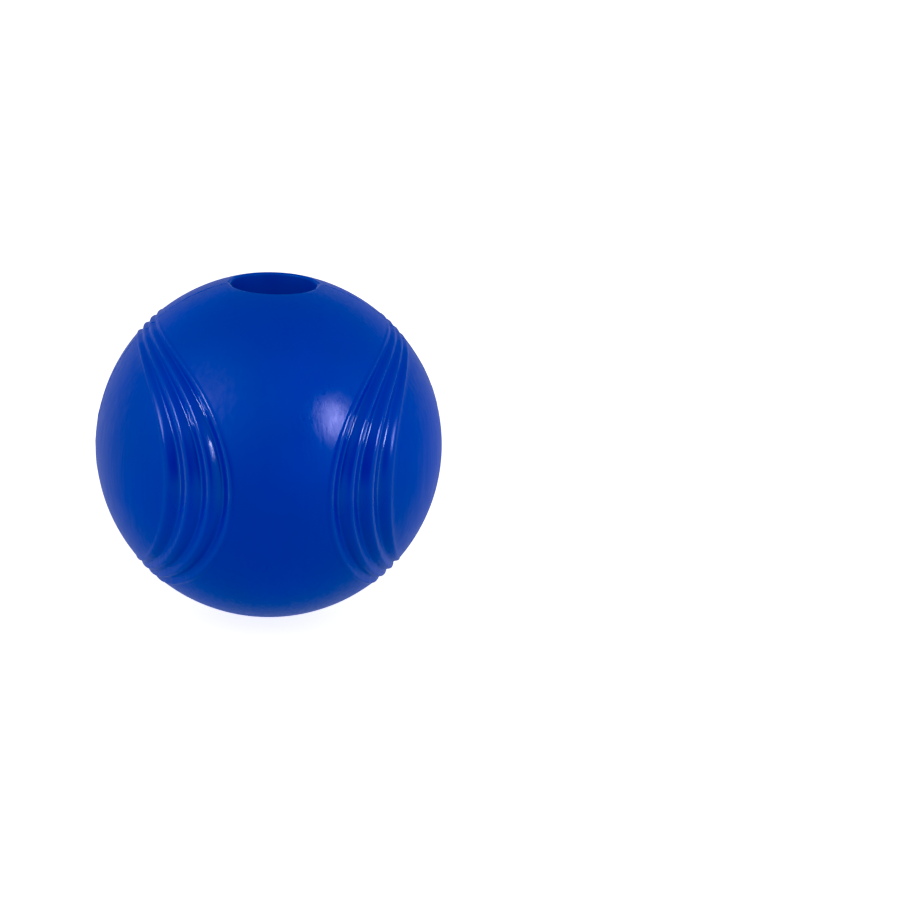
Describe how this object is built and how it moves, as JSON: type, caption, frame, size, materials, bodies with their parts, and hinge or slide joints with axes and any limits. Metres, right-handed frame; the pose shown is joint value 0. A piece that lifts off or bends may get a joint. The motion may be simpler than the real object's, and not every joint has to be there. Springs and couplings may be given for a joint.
{
  "type": "dryer ball",
  "caption": "Hollow rubber tumble-dryer ball with a round mouth and curved grooves, made of bonded half shells.",
  "frame": {"origin": "centre of the ball", "axes": "+Z points out of the mouth along its axis; the bonded seam lies in the XZ plane; the two groups of grooves lie on the +X and -X sides; -Y is the front"},
  "size_m": [0.0652, 0.065, 0.0641],
  "materials": {
    "blue_rubber": "satin moulded rubber",
    "bond_rubber": "cured rubber cement with thin moulding flash"
  },
  "bodies": {
    "root": {"front_half_shell": "blue_rubber", "rear_half_shell": "blue_rubber", "seam_bond": "bond_rubber"}
  },
  "joints": []
}
